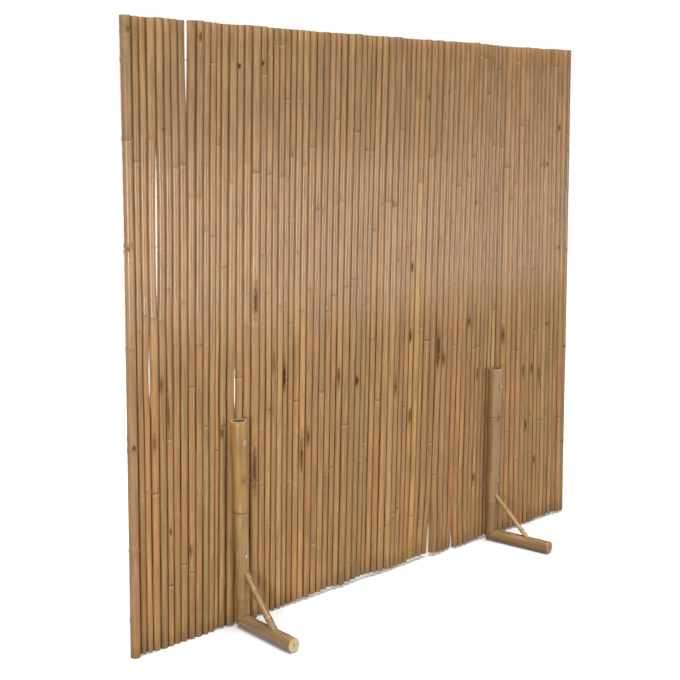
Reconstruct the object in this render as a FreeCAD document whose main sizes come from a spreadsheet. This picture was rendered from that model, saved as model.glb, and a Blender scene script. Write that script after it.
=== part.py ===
import FreeCAD, Part
import math
import os

from FreeCAD import Placement, Rotation, Vector

os.makedirs("parts", exist_ok=True)
doc = FreeCAD.newDocument("BambooScreen")

# Driving dimensions in millimetres
SIZES = {
    "panel_width": 1990,
    "panel_height": 1812,
    "cane_clearance": 0.3,
    "cane_ring_swell": 0.5,
    "cane_ring_half_length": 8,
    "cane_foot_play": 17,
    "cane_head_play": 6,
    "wire_diameter": 2,
    "wire_clearance": 0.3,
    "wire_bend_radius": 2,
    "wire_tail_length": 12,
    "post_height": 642,
    "post_head_diameter": 54,
    "post_foot_diameter": 44,
    "post_wall": 7,
    "post_ring_swell": 1,
    "post_ring_half_length": 9,
    "diaphragm_thickness": 6,
    "pith_diameter": 8,
    "foot_reach": 240,
    "brace_height": 165,
    "left_brace_diameter": 24,
    "right_brace_diameter": 17,
    "left_stand_lean": -12,
    "right_stand_lean": 12,
    "left_foot_drift": 0,
    "right_foot_drift": 42,
    "seat_clearance": 0.3,
    "low_bolt_rise": 65,
    "high_bolt_drop": 62,
    "bolt_diameter": 6,
    "bolt_clearance": 0.3,
    "bolt_head_diameter": 12,
    "bolt_head_height": 4,
    "bolt_end_length": 4,
    "washer_diameter": 16,
    "washer_thickness": 1.5,
    "nut_diameter": 11.5,
    "nut_height": 5,
    "thread_clearance": 0.05,
    "screw_diameter": 4.5,
    "screw_head_diameter": 9,
    "screw_head_height": 3,
    "screw_length": 75,
    "screw_sink": 5,
    "screw_setback": 10,
    "nail_diameter": 3,
    "nail_head_diameter": 6,
    "nail_head_height": 1.2,
    "nail_length": 38,
    "nail_setback": 6,
    "fastener_clearance": 0.1,
    "overrun": 5,
}

# Shares of the panel's width that the canes take, from left to right
cane_width_shares = [
    33, 21, 22, 28, 26, 23, 24, 27, 27, 27,
    23, 23, 15, 26, 32, 26, 29, 34, 25, 23,
    23, 23, 21, 22, 25, 25, 29, 27, 25, 25,
    23, 26, 31, 28, 25, 21, 19, 25, 29, 32,
    29, 24, 22, 22, 23, 27, 22, 31, 29, 32,
    28, 26, 27, 25, 25, 26, 23, 23, 22, 19,
    20, 22, 27, 33, 28, 27, 30, 27, 25, 25,
    23, 22, 25, 23, 25, 28, 30, 23,
]

# How much wider each cane is at its head than at its foot, as a share of its width
cane_taper_shares = [
    0.05, 0.14, 0.14, 0.14, 0.10, 0.10, 0.10, 0.10, 0.10, 0.10,
    0.09, 0.09, 0.09, 0.09, -0.04, -0.04, -0.04, -0.04, -0.04, 0.06,
    0.06, 0.06, 0.06, 0.06, 0.06, 0.06, 0.06, 0.05, 0.05, 0.05,
    0.05, 0.05, 0.05, 0.02, 0.02, 0.02, 0.02, 0.02, 0.02, 0.02,
    0.02, 0.02, 0.03, 0.03, 0.03, 0.03, 0.03, 0.03, 0.03, 0.03,
    -0.06, -0.06, -0.06, -0.06, -0.06, -0.06, -0.06, -0.06, -0.15, -0.15,
    -0.15, -0.15, -0.15, -0.18, -0.18, -0.18, -0.12, -0.12, -0.12, -0.12,
    -0.01, -0.01, -0.01, -0.01, -0.02, -0.02, -0.02, -0.01,
]

# Where one node ring of each cane lies, and the step to the next, as shares of the height below the top
cane_ring_shares = [
    0.027, 0.220, 0.178, 0.185, 0.172, 0.180, 0.230, 0.226, 0.276, 0.276,
    0.331, 0.065, 0.196, 0.132, 0.256, 0.070, 0.226, 0.241, 0.080, 0.045,
    0.300, 0.250, 0.120, 0.215, 0.119, 0.231, 0.200, 0.307, 0.311, 0.199,
    0.152, 0.293, 0.199, 0.174, 0.119, 0.207, 0.207, 0.152, 0.307, 0.300,
    0.310, 0.170, 0.285, 0.090, 0.115, 0.267, 0.293, 0.220, 0.211, 0.148,
    0.096, 0.093, 0.278, 0.293, 0.260, 0.222, 0.026, 0.030, 0.100, 0.190,
    0.200, 0.050, 0.204, 0.244, 0.070, 0.033, 0.160, 0.196, 0.200, 0.148,
    0.115, 0.244, 0.244, 0.280, 0.037, 0.170, 0.207, 0.215,
]
cane_ring_step_shares = [
    0.160, 0.262, 0.280, 0.279, 0.297, 0.240, 0.280, 0.215, 0.306, 0.240,
    0.320, 0.277, 0.250, 0.262, 0.300, 0.255, 0.270, 0.260, 0.300, 0.200,
    0.270, 0.220, 0.240, 0.285, 0.260, 0.250, 0.245, 0.297, 0.320, 0.290,
    0.310, 0.315, 0.250, 0.262, 0.260, 0.280, 0.267, 0.200, 0.360, 0.307,
    0.300, 0.240, 0.300, 0.300, 0.265, 0.320, 0.250, 0.350, 0.280, 0.230,
    0.235, 0.255, 0.310, 0.270, 0.250, 0.275, 0.288, 0.285, 0.300, 0.235,
    0.230, 0.240, 0.280, 0.320, 0.240, 0.243, 0.232, 0.256, 0.220, 0.310,
    0.237, 0.270, 0.270, 0.300, 0.300, 0.250, 0.290, 0.210,
]

# How far each cane's foot stays above the floor, and its head below the top, as shares of the play
cane_foot_shares = [
    0.00, 0.32, 0.30, 0.18, 0.09, 0.00, 0.09, 0.12, 0.06, 0.03,
    0.00, 0.12, 0.30, 0.32, 0.30, 0.30, 0.24, 0.30, 0.30, 0.26,
    0.24, 0.30, 0.38, 0.44, 0.47, 0.59, 0.59, 0.71, 0.71, 0.82,
    0.94, 0.71, 0.59, 0.76, 0.82, 0.94, 1.00, 0.94, 0.88, 0.71,
    0.71, 0.47, 0.53, 0.59, 0.59, 1.00, 0.94, 0.94, 0.94, 0.76,
    0.59, 0.47, 0.47, 0.38, 0.38, 0.41, 0.47, 0.47, 0.47, 0.71,
    0.76, 0.38, 0.41, 0.47, 0.47, 0.47, 0.41, 0.38, 0.35, 0.35,
    0.38, 0.47, 0.53, 0.41, 0.59, 0.71, 0.47, 0.35,
]
cane_head_shares = [
    0.00, 0.17, 0.33, 0.33, 0.00, 0.17, 0.17, 0.33, 0.17, 0.00,
    0.33, 0.33, 0.50, 0.67, 0.67, 0.50, 0.33, 0.33, 0.33, 0.67,
    0.67, 0.67, 0.67, 0.67, 0.67, 0.67, 0.83, 1.00, 0.67, 0.83,
    0.67, 0.67, 0.67, 0.33, 0.67, 0.67, 0.67, 0.67, 0.50, 0.67,
    0.33, 0.67, 0.67, 0.67, 0.67, 0.67, 0.33, 0.67, 0.33, 0.67,
    0.33, 0.33, 0.33, 0.33, 0.17, 0.00, 0.50, 0.33, 0.50, 0.67,
    0.50, 0.67, 0.83, 0.83, 0.83, 0.67, 0.67, 0.33, 0.50, 0.33,
    0.50, 0.67, 0.33, 0.17, 0.00, 0.17, 0.17, 0.00,
]

# Shares of sizes that the other pieces follow
cane_bore_share = 0.6
wire_place_shares = {"top": 0.062, "upper": 0.352, "lower": 0.642, "bottom": 0.932}
stand_place_shares = {"left": 0.1855, "right": 0.7632}
upper_ring_shares = {"left": 0.37, "right": 0.66}
lower_ring_shares = {"left": 0.58, "right": 0.86}
foot_ring_shares = {"left": 0.52, "right": 0.42}
bolt_cap_share = 0.6
canes_per_node = 3

sheet = doc.addObject("Spreadsheet::Sheet", "Sizes")
for row, (alias, value) in enumerate(SIZES.items(), start=1):
    sheet.set(f"A{row}", alias)
    sheet.set(f"B{row}", str(value))
    sheet.setAlias(f"B{row}", alias)
doc.recompute()


def size(alias):
    """A driving dimension, read from the sheet."""
    return float(sheet.get(alias))


panel_width = size("panel_width")
panel_height = size("panel_height")
overrun = size("overrun")
seat_clearance = size("seat_clearance")
post_height = size("post_height")
post_head_radius = size("post_head_diameter") / 2
post_foot_radius = size("post_foot_diameter") / 2
foot_reach = size("foot_reach")
foot_axis_height = post_foot_radius + size("post_ring_swell")
leans = {"left": size("left_stand_lean"), "right": size("right_stand_lean")}
drifts = {"left": size("left_foot_drift"), "right": size("right_foot_drift")}
bolt_heights = {
    "low": size("brace_height") + size("low_bolt_rise"),
    "high": post_height - size("high_bolt_drop"),
}
bolt_hole_radius = size("bolt_diameter") / 2 + size("bolt_clearance")
wire_heights = {
    name: panel_height * (1 - share) for name, share in wire_place_shares.items()
}

# Directions that the round pieces are laid along, turned from +Z
UP = Rotation()
BACKWARD = Rotation(Vector(1, 0, 0), -90)
FORWARD = Rotation(Vector(1, 0, 0), 90)
RIGHTWARD = Rotation(Vector(0, 1, 0), 90)
MITRE = Rotation(Vector(1, 0, 0), -45)
DOWN_THE_BRACE = Rotation(Vector(1, 0, 0), 135)
ACROSS_THE_BRACE = Rotation(Vector(1, 0, 0), -135)


# Objects of the document

def bind(item, prop, value):
    """Ties a property to the sheet, or sets a length worked out from it."""
    if isinstance(value, str):
        item.setExpression(prop, value)
    else:
        setattr(item, prop, value)


def round_bar(name, radius, length, place):
    bar = doc.addObject("Part::Cylinder", name)
    bind(bar, "Radius", radius)
    bind(bar, "Height", length)
    bar.Placement = place
    return bar


def taper_bar(name, foot_radius, head_radius, length, place):
    bar = doc.addObject("Part::Cone", name)
    bind(bar, "Radius1", foot_radius)
    bind(bar, "Radius2", head_radius)
    bind(bar, "Height", length)
    bar.Placement = place
    return bar


def fuse(name, pieces):
    joined = doc.addObject("Part::MultiFuse", name)
    joined.Shapes = pieces
    return joined


def cut(name, base, tools):
    tool = tools[0] if len(tools) == 1 else fuse(name + "_tools", tools)
    result = doc.addObject("Part::Cut", name)
    result.Base = base
    result.Tool = tool
    return result


def group(name, pieces):
    together = doc.addObject("Part::Compound", name)
    together.Links = pieces
    return together


def name_part(piece, label):
    piece.Label = label
    sub_parts.append(piece)


sub_parts = []


# Canes: where each one stands, and how thick it is at any height

def lay_out_canes():
    """One line per cane: axis place and outer radius at the floor and at the panel's top."""
    total = sum(cane_width_shares)
    head_widths = []
    foot_widths = []
    for share, taper in zip(cane_width_shares, cane_taper_shares):
        width = panel_width * share / total
        head_widths.append(width * (1 + taper / 2))
        foot_widths.append(width * (1 - taper / 2))
    head_scale = panel_width / sum(head_widths)
    foot_scale = panel_width / sum(foot_widths)
    canes = []
    head_edge = -panel_width / 2
    foot_edge = -panel_width / 2
    for head_width, foot_width in zip(head_widths, foot_widths):
        head = head_width * head_scale
        foot = foot_width * foot_scale
        canes.append({
            "foot_x": foot_edge + foot / 2,
            "head_x": head_edge + head / 2,
            "foot_radius": (foot - size("cane_clearance")) / 2,
            "head_radius": (head - size("cane_clearance")) / 2,
        })
        head_edge += head
        foot_edge += foot
    return canes


def cane_x(cane, height):
    return cane["foot_x"] + (cane["head_x"] - cane["foot_x"]) * height / panel_height


def cane_radius(cane, height):
    """Radius over the node rings."""
    span = cane["head_radius"] - cane["foot_radius"]
    return cane["foot_radius"] + span * height / panel_height


canes = lay_out_canes()


def ring_heights(number):
    """Heights of one cane's node rings that lie clear of both its ends."""
    first = cane_ring_shares[number]
    step = cane_ring_step_shares[number]
    below = int((1 - first) / step)
    above = int(first / step)
    heights = []
    for count in range(-above, below + 1):
        height = panel_height * (1 - first - count * step)
        margin = size("cane_ring_half_length") + size("cane_foot_play")
        if margin < height < panel_height - margin:
            heights.append(height)
    return sorted(heights)


def culm(cane, number):
    """A tapering hollow cane on its leaning axis, longer than the panel at both ends."""
    swell = size("cane_ring_swell")
    half = size("cane_ring_half_length")
    low = -overrun
    high = panel_height + overrun
    bore = cane_bore_share * min(cane["foot_radius"], cane["head_radius"])
    outline = [(bore, low), (cane_radius(cane, low) - swell, low)]
    for height in ring_heights(number):
        outline.append((cane_radius(cane, height - half) - swell, height - half))
        outline.append((cane_radius(cane, height), height))
        outline.append((cane_radius(cane, height + half) - swell, height + half))
    outline.append((cane_radius(cane, high) - swell, high))
    outline.append((bore, high))
    outline.append(outline[0])
    wire = Part.makePolygon([Vector(radius, 0, height) for radius, height in outline])
    solid = Part.Face(wire).revolve(Vector(0, 0, 0), Vector(0, 0, 1), 360)
    lean = math.degrees(math.atan2(cane["head_x"] - cane["foot_x"], panel_height))
    solid.Placement = Placement(Vector(cane["foot_x"], 0, 0), Rotation(Vector(0, 1, 0), lean))
    return solid


def sawn_cane(number):
    """One cane, sawn level at both ends and bored for the wires and the clamp bolts."""
    cane = canes[number]
    solid = culm(cane, number)
    bottom = size("cane_foot_play") * cane_foot_shares[number]
    top = panel_height - size("cane_head_play") * cane_head_shares[number]
    reach = max(cane["foot_radius"], cane["head_radius"]) + overrun
    left = min(cane["foot_x"], cane["head_x"]) - reach
    right = max(cane["foot_x"], cane["head_x"]) + reach
    slab = Part.makeBox(right - left, 2 * reach, top - bottom, Vector(left, -reach, bottom))
    solid = solid.common(slab)
    drills = []
    hole_radius = size("wire_diameter") / 2 + size("wire_clearance")
    for height in wire_heights.values():
        start = Vector(cane_x(cane, height) - reach, 0, height)
        drills.append(Part.makeCylinder(hole_radius, 2 * reach, start, Vector(1, 0, 0)))
    for side in stand_place_shares:
        for height in bolt_heights.values():
            place = stand_x(side, height)
            if abs(place - cane_x(cane, height)) < cane_radius(cane, height) + bolt_hole_radius:
                start = Vector(place, -reach, height)
                drills.append(Part.makeCylinder(bolt_hole_radius, 2 * reach, start, Vector(0, 1, 0)))
    return solid.cut(Part.Compound(drills)).Solids


def add_cane_node(label, numbers):
    solids = []
    for number in numbers:
        solids.extend(sawn_cane(number))
    node = doc.addObject("Part::Feature", label)
    node.Shape = solids[0] if len(solids) == 1 else Part.Compound(solids)
    node.Placement = Placement()
    name_part(node, label)


# Stands: where each one is, and the local frames of its front and back half

def stand_x(side, height):
    """The post's axis at a height: it leans about the foot's own axis."""
    foot = panel_width * (stand_place_shares[side] - 0.5)
    rise = (height - foot_axis_height) / (post_height - foot_axis_height)
    return foot + leans[side] * rise


def post_radius(height):
    return post_foot_radius + (post_head_radius - post_foot_radius) * height / post_height


def post_ring_heights(side):
    """The lower ring lies under the brace, the upper one between the two bolts."""
    lower = size("brace_height") * lower_ring_shares[side]
    span = bolt_heights["high"] - bolt_heights["low"]
    return {"lower": lower, "upper": bolt_heights["low"] + span * upper_ring_shares[side]}


def post_widest_radius(side):
    crests = [post_radius(height) + size("post_ring_swell") for height in post_ring_heights(side).values()]
    return max(post_head_radius, *crests)


def seat_depth(side):
    """How far the thickest cane behind a post stands out from the panel's middle plane."""
    depths = []
    for cane in canes:
        for height in [0, *bolt_heights.values(), post_height]:
            reach = cane_radius(cane, height) + post_widest_radius(side)
            if abs(cane_x(cane, height) - stand_x(side, height)) < reach:
                depths.append(cane_radius(cane, height))
    return max(depths)


def post_axis_depth(side):
    return seat_depth(side) + seat_clearance + post_widest_radius(side)


def foot_frame(side, half):
    """Placement of a half stand on the floor: its foot runs to -Y from a post on the origin."""
    depth = post_axis_depth(side)
    place = Vector(panel_width * (stand_place_shares[side] - 0.5), -depth, 0)
    turn = math.degrees(math.asin(drifts[side] / foot_reach))
    if half == "back":
        place.y = depth
        turn += 180
    return Placement(place, Rotation(Vector(0, 0, 1), turn))


def post_frame(side, half):
    """The same, but leaning along the panel about the middle of the foot."""
    upright = foot_frame(side, half)
    angle = math.degrees(math.atan2(leans[side], post_height - foot_axis_height))
    pivot = upright.Base + Vector(0, 0, foot_axis_height)
    return Placement(Vector(0, 0, 0), Rotation(Vector(0, 1, 0), angle), pivot) * upright


def rings(name, radius_at, places, frame):
    """Node rings on a pole along local +Z: two cones that meet at the widest line."""
    made = []
    half = size("post_ring_half_length")
    for number, place in enumerate(places, start=1):
        crest = radius_at(place) + size("post_ring_swell")
        low = frame * Placement(Vector(0, 0, place - half), UP)
        high = frame * Placement(Vector(0, 0, place), UP)
        foot = radius_at(place - half)
        head = radius_at(place + half)
        length = "Sizes.post_ring_half_length"
        made.append(taper_bar(f"{name}_ring_rise_{number}", foot, crest, length, low))
        made.append(taper_bar(f"{name}_ring_fall_{number}", crest, head, length, high))
    return made


def mitre_block(name, frame, above):
    """A block on one side of the plane in which post and foot meet."""
    side = 4 * post_head_radius
    block = doc.addObject("Part::Box", name)
    block.setExpression("Length", "2 * Sizes.post_head_diameter")
    block.setExpression("Width", "2 * Sizes.post_head_diameter")
    block.setExpression("Height", "2 * Sizes.post_head_diameter")
    corner = Vector(-side / 2, -side / 2, 0 if above else -side)
    seam = Placement(Vector(0, 0, foot_axis_height), MITRE)
    block.Placement = frame * seam * Placement(corner, UP)
    return block


def brace_ends(side):
    """Where the brace's axis meets the post's front and the foot's top, in the half stand's frame."""
    post_front = post_radius(size("brace_height"))
    foot_top = foot_axis_height + post_foot_radius
    run = size("brace_height") - foot_top
    upper = Vector(0, -post_front, size("brace_height"))
    lower = Vector(0, -post_front - run, foot_top)
    return upper, lower


def nail_places(side):
    """Heads of the two nails, in the half stand's frame: each sits on the brace's outer side."""
    upper, lower = brace_ends(side)
    along = (lower - upper).normalize()
    across = ACROSS_THE_BRACE.multVec(Vector(0, 0, 1))
    out = size(f"{side}_brace_diameter") / 2 + size("fastener_clearance")
    places = []
    for point in [upper + along * size("nail_setback"), lower - along * size("nail_setback")]:
        places.append(Placement(point - across * out, ACROSS_THE_BRACE))
    return places


def nail_drills(name, side, frame):
    drills = []
    for number, place in enumerate(nail_places(side), start=1):
        radius = "Sizes.nail_diameter / 2 + Sizes.fastener_clearance"
        length = "Sizes.nail_length + Sizes.fastener_clearance"
        drills.append(round_bar(f"{name}_nail_drill_{number}", radius, length, frame * place))
    return drills


def screw_drills(name, frame):
    """The stepped hole for the screw that draws foot and post together."""
    floor = Placement(Vector(0, -size("screw_setback"), -overrun), UP)
    head = round_bar(
        name + "_head_drill",
        "Sizes.screw_head_diameter / 2 + Sizes.fastener_clearance",
        "Sizes.overrun + Sizes.screw_sink + Sizes.screw_head_height + Sizes.fastener_clearance",
        frame * floor,
    )
    shank = round_bar(
        name + "_shank_drill",
        "Sizes.screw_diameter / 2 + Sizes.fastener_clearance",
        "Sizes.overrun + Sizes.screw_sink + Sizes.screw_length + Sizes.fastener_clearance",
        frame * floor,
    )
    return [head, shank]


def bolt_drills(name, side):
    drills = []
    depth = post_axis_depth(side) + post_widest_radius(side) + overrun
    for level, height in bolt_heights.items():
        start = Placement(Vector(stand_x(side, height), -depth, height), BACKWARD)
        radius = "Sizes.bolt_diameter / 2 + Sizes.bolt_clearance"
        drills.append(round_bar(f"{name}_{level}_bolt_drill", radius, 2 * depth, start))
    return drills


def add_post(side, half):
    label = f"{half}_{side}_post"
    frame = post_frame(side, half)
    floor_frame = foot_frame(side, half)
    places = post_ring_heights(side)
    body = taper_bar(
        label + "_culm",
        "Sizes.post_foot_diameter / 2",
        "Sizes.post_head_diameter / 2",
        "Sizes.post_height",
        frame,
    )
    pole = fuse(label + "_pole", [body, *rings(label, post_radius, places.values(), frame)])
    node_share = places["upper"] / post_height
    hollow = taper_bar(
        label + "_hollow",
        f"Sizes.post_foot_diameter / 2 * {1 - node_share}"
        f" + Sizes.post_head_diameter / 2 * {node_share} - Sizes.post_wall",
        "Sizes.post_head_diameter / 2 - Sizes.post_wall",
        f"Sizes.post_height * {1 - node_share}",
        frame * Placement(Vector(0, 0, places["upper"]), UP),
    )
    pith = round_bar(
        label + "_pith",
        "Sizes.pith_diameter / 2",
        f"Sizes.post_height * {node_share} - Sizes.diaphragm_thickness",
        frame,
    )
    tools = [hollow, pith, mitre_block(label + "_mitre", floor_frame, above=False)]
    tools.extend(nail_drills(label, side, floor_frame))
    tools.extend(screw_drills(label, floor_frame))
    tools.extend(bolt_drills(label, side))
    name_part(cut(label, pole, tools), label)


def foot_ring_place(side):
    """Distance of the foot's ring from the post's axis: past the brace, before the foot's end."""
    upper, lower = brace_ends(side)
    half = size("post_ring_half_length")
    brace_half_span = size(f"{side}_brace_diameter") / 2 * math.sqrt(2)
    start = -lower.y + brace_half_span + half
    return start + (foot_reach - half - start) * foot_ring_shares[side]


def add_foot(side, half):
    label = f"{half}_{side}_foot"
    frame = foot_frame(side, half)
    heel = frame * Placement(Vector(0, post_foot_radius, foot_axis_height), FORWARD)
    places = [post_foot_radius + foot_ring_place(side)]
    length = "Sizes.foot_reach + Sizes.post_foot_diameter / 2"
    body = round_bar(label + "_culm", "Sizes.post_foot_diameter / 2", length, heel)
    pole = fuse(label + "_pole", [body, *rings(label, lambda place: post_foot_radius, places, heel)])
    pith = round_bar(label + "_pith", "Sizes.pith_diameter / 2", length, heel)
    tools = [pith, mitre_block(label + "_mitre", frame, above=True)]
    tools.extend(nail_drills(label, side, frame))
    tools.extend(screw_drills(label, frame))
    name_part(cut(label, pole, tools), label)


def add_brace(side, half):
    """A slanting strut whose ends are hollowed to fit the round post and the round foot."""
    label = f"{half}_{side}_brace"
    frame = foot_frame(side, half)
    upper, lower = brace_ends(side)
    along = (lower - upper).normalize()
    bite = size(f"{side}_brace_diameter") / 2 + overrun
    bar = round_bar(
        label + "_culm",
        f"Sizes.{side}_brace_diameter / 2",
        (lower - upper).Length + 2 * bite,
        frame * Placement(upper - along * bite, DOWN_THE_BRACE),
    )
    post_room = taper_bar(
        label + "_post_room",
        "Sizes.post_foot_diameter / 2 + Sizes.seat_clearance",
        "Sizes.post_head_diameter / 2 + Sizes.seat_clearance",
        "Sizes.post_height",
        post_frame(side, half),
    )
    foot_room = round_bar(
        label + "_foot_room",
        "Sizes.post_foot_diameter / 2 + Sizes.seat_clearance",
        "Sizes.foot_reach + Sizes.post_foot_diameter / 2",
        frame * Placement(Vector(0, post_foot_radius, foot_axis_height), FORWARD),
    )
    tools = [post_room, foot_room, *nail_drills(label, side, frame)]
    name_part(cut(label, bar, tools), label)


# Threading wires, bent down outside the outermost canes

def add_wire(name, height):
    label = f"{name}_threading_wire"
    bend = size("wire_bend_radius")
    swell = size("cane_ring_swell")
    left = cane_x(canes[0], height) - cane_radius(canes[0], height) + swell
    right = cane_x(canes[-1], height) + cane_radius(canes[-1], height) - swell
    start = Placement(Vector(left, 0, height), RIGHTWARD)
    pieces = [round_bar(label + "_run", "Sizes.wire_diameter / 2", right - left, start)]
    for end, edge, outward in [("left", left, -1), ("right", right, 1)]:
        elbow = doc.addObject("Part::Torus", f"{label}_{end}_elbow")
        elbow.setExpression("Radius1", "Sizes.wire_bend_radius")
        elbow.setExpression("Radius2", "Sizes.wire_diameter / 2")
        elbow.Angle3 = 90
        turn = Rotation(Vector(0, 0, 1), Vector(outward, 0, 0), Vector(0, outward, 0), "XYZ")
        elbow.Placement = Placement(Vector(edge, 0, height - bend), turn)
        tail_start = Vector(edge + outward * bend, 0, height - bend - size("wire_tail_length"))
        tail = round_bar(f"{label}_{end}_tail", "Sizes.wire_diameter / 2",
                         "Sizes.wire_tail_length", Placement(tail_start, UP))
        pieces.extend([elbow, tail])
    name_part(fuse(label, pieces), label)


# Fasteners

def bolt_start(side, height):
    """Where the bolt's head seats, in front of its washer on the front post."""
    depth = post_axis_depth(side) + post_radius(height)
    return depth + size("washer_thickness") + 2 * size("fastener_clearance")


def add_bolts():
    bolts = []
    for side in stand_place_shares:
        for level, height in bolt_heights.items():
            name = f"bolt_{side}_{level}"
            depth = bolt_start(side, height)
            place = Placement(Vector(stand_x(side, height), -depth, height), BACKWARD)
            length = 2 * depth + size("nut_height") + size("bolt_end_length")
            shank = round_bar(name + "_shank", "Sizes.bolt_diameter / 2", length, place)
            collar = round_bar(
                name + "_collar",
                "Sizes.bolt_head_diameter / 2",
                f"Sizes.bolt_head_height * {1 - bolt_cap_share}",
                place * Placement(Vector(0, 0, -size("bolt_head_height") * (1 - bolt_cap_share)), UP),
            )
            cap = taper_bar(
                name + "_cap",
                f"Sizes.bolt_head_diameter / 2 * {bolt_cap_share}",
                "Sizes.bolt_head_diameter / 2",
                f"Sizes.bolt_head_height * {bolt_cap_share}",
                place * Placement(Vector(0, 0, -size("bolt_head_height")), UP),
            )
            bolts.append(fuse(name, [shank, collar, cap]))
    name_part(group("clamp_bolts", bolts), "clamp_bolts")


def add_washers():
    washers = []
    for side in stand_place_shares:
        for level, height in bolt_heights.items():
            inner = bolt_start(side, height) - size("washer_thickness") - size("fastener_clearance")
            for half, face, turn in [("front", -1, FORWARD), ("back", 1, BACKWARD)]:
                name = f"washer_{half}_{side}_{level}"
                place = Placement(Vector(stand_x(side, height), face * inner, height), turn)
                disc = round_bar(name + "_disc", "Sizes.washer_diameter / 2",
                                 "Sizes.washer_thickness", place)
                hole = round_bar(name + "_hole", "Sizes.bolt_diameter / 2 + Sizes.bolt_clearance",
                                 "Sizes.washer_thickness", place)
                washers.append(cut(name, disc, [hole]))
    name_part(group("clamp_washers", washers), "clamp_washers")


def add_nuts():
    nuts = []
    for side in stand_place_shares:
        for level, height in bolt_heights.items():
            name = f"nut_{side}_{level}"
            depth = bolt_start(side, height)
            place = Placement(Vector(stand_x(side, height), depth, height), BACKWARD)
            block = doc.addObject("Part::Prism", name + "_block")
            block.Polygon = 6
            block.setExpression("Circumradius", "Sizes.nut_diameter / 2")
            block.setExpression("Height", "Sizes.nut_height")
            block.Placement = place
            hole = round_bar(name + "_hole", "Sizes.bolt_diameter / 2 + Sizes.thread_clearance",
                             "Sizes.nut_height", place)
            nuts.append(cut(name, block, [hole]))
    name_part(group("clamp_nuts", nuts), "clamp_nuts")


def add_mitre_screws():
    screws = []
    for side in stand_place_shares:
        for half in ["front", "back"]:
            name = f"screw_{half}_{side}"
            foot = Placement(Vector(0, -size("screw_setback"), size("screw_sink")), UP)
            place = foot_frame(side, half) * foot
            head = round_bar(name + "_head", "Sizes.screw_head_diameter / 2",
                             "Sizes.screw_head_height", place)
            shank = round_bar(name + "_shank", "Sizes.screw_diameter / 2",
                              "Sizes.screw_length", place)
            screws.append(fuse(name, [head, shank]))
    name_part(group("mitre_screws", screws), "mitre_screws")


def add_brace_nails():
    nails = []
    for side in stand_place_shares:
        for half in ["front", "back"]:
            frame = foot_frame(side, half)
            for number, place in enumerate(nail_places(side), start=1):
                name = f"nail_{half}_{side}_{number}"
                shank = round_bar(name + "_shank", "Sizes.nail_diameter / 2",
                                  "Sizes.nail_length", frame * place)
                above = Placement(Vector(0, 0, -size("nail_head_height")), UP)
                head = round_bar(name + "_head", "Sizes.nail_head_diameter / 2",
                                 "Sizes.nail_head_height", frame * place * above)
                nails.append(fuse(name, [shank, head]))
    name_part(group("brace_nails", nails), "brace_nails")


# The whole screen

add_cane_node("edge_pole", [0])
for first in range(1, len(canes), canes_per_node):
    numbers = range(first, min(first + canes_per_node, len(canes)))
    add_cane_node(f"canes_{numbers[0] + 1:02d}_to_{numbers[-1] + 1:02d}", numbers)
for name, height in wire_heights.items():
    add_wire(name, height)
for side in stand_place_shares:
    for half in ["front", "back"]:
        add_post(side, half)
        add_foot(side, half)
        add_brace(side, half)
add_bolts()
add_washers()
add_nuts()
add_mitre_screws()
add_brace_nails()

doc.recompute()
for item in doc.Objects:
    if "Invalid" in item.State or "Error" in item.State:
        raise RuntimeError(f"{item.Label} did not compute")
for piece in sub_parts:
    if piece.Shape.isNull() or not piece.Shape.isValid():
        raise RuntimeError(f"{piece.Label} has no valid shape")
for piece in sub_parts:
    piece.Shape.exportStep(f"parts/{piece.Label}.step")
    box = piece.Shape.BoundBox
    print(piece.Label, len(piece.Shape.Solids), f"{box.XMin:.1f} {box.YMin:.1f} {box.ZMin:.2f}",
          f"{box.XMax:.1f} {box.YMax:.1f} {box.ZMax:.1f}")
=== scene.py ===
"""The looks of a free-standing bamboo screen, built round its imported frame."""
import math
import random
from collections import namedtuple
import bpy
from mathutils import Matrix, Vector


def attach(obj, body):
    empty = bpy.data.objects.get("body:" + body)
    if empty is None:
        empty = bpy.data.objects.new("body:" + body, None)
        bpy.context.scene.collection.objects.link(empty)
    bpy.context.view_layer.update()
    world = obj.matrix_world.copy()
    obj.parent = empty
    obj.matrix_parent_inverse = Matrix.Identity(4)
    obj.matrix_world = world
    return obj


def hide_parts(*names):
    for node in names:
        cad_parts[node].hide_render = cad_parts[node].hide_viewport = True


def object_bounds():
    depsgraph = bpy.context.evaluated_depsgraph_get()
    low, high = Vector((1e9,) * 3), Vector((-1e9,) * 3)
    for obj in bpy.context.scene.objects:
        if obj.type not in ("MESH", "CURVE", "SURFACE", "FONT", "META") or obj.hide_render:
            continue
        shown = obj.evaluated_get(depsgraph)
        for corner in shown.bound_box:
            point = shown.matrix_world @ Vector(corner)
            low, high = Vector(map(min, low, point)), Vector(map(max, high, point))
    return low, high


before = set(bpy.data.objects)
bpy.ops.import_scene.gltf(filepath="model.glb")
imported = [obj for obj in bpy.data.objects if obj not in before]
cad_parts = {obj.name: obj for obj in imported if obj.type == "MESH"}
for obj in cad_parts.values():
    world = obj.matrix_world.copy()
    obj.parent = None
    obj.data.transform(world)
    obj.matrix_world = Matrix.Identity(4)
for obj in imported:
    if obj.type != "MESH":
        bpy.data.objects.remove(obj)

from types import SimpleNamespace

import bmesh
import bpy
import numpy as np
from mathutils import Vector

MM = 0.001
cad_low, cad_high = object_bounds()

# How finely round things are drawn
CANE_SIDES = 22
POST_SIDES = 56
BRACE_SIDES = 36
PIN_SIDES = 36

# For reading the frame: which points are one, how deep an end is, how far a ring swells past the
# straight body, and how far apart two rings are at least
WELD = 0.01 * MM
RIM_DEPTH = 0.1 * MM
CREST_SWELL = 0.3 * MM
RING_SPACING = 20 * MM

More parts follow.
